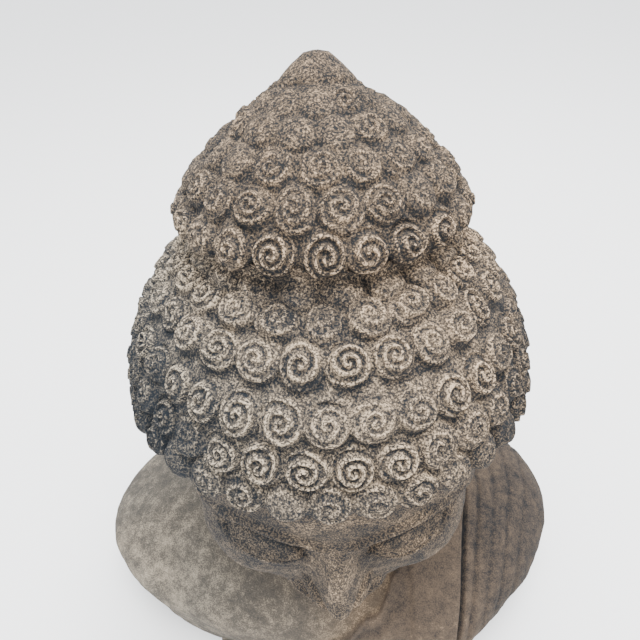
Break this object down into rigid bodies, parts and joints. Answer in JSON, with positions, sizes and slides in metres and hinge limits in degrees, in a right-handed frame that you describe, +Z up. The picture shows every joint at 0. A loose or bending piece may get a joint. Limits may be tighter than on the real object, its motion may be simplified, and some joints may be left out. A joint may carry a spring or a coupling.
{
  "type": "stone buddha bust",
  "caption": "Weathered stone bust of a calm figure with rows of snail curls, a pointed topknot and a robe over one shoulder, cut flat below",
  "frame": {"origin": "middle of the flat underside", "axes": "+Z up, the face looks along -Y, +X is the side with the robe over the shoulder"},
  "size_m": [0.3418, 0.2218, 0.3844],
  "materials": {
    "weathered_stone": "matt, grainy, speckled grey and tan, darker in the carving and paler on worn edges"
  },
  "bodies": {
    "root": {"buddha_bust": "weathered_stone"}
  },
  "joints": []
}
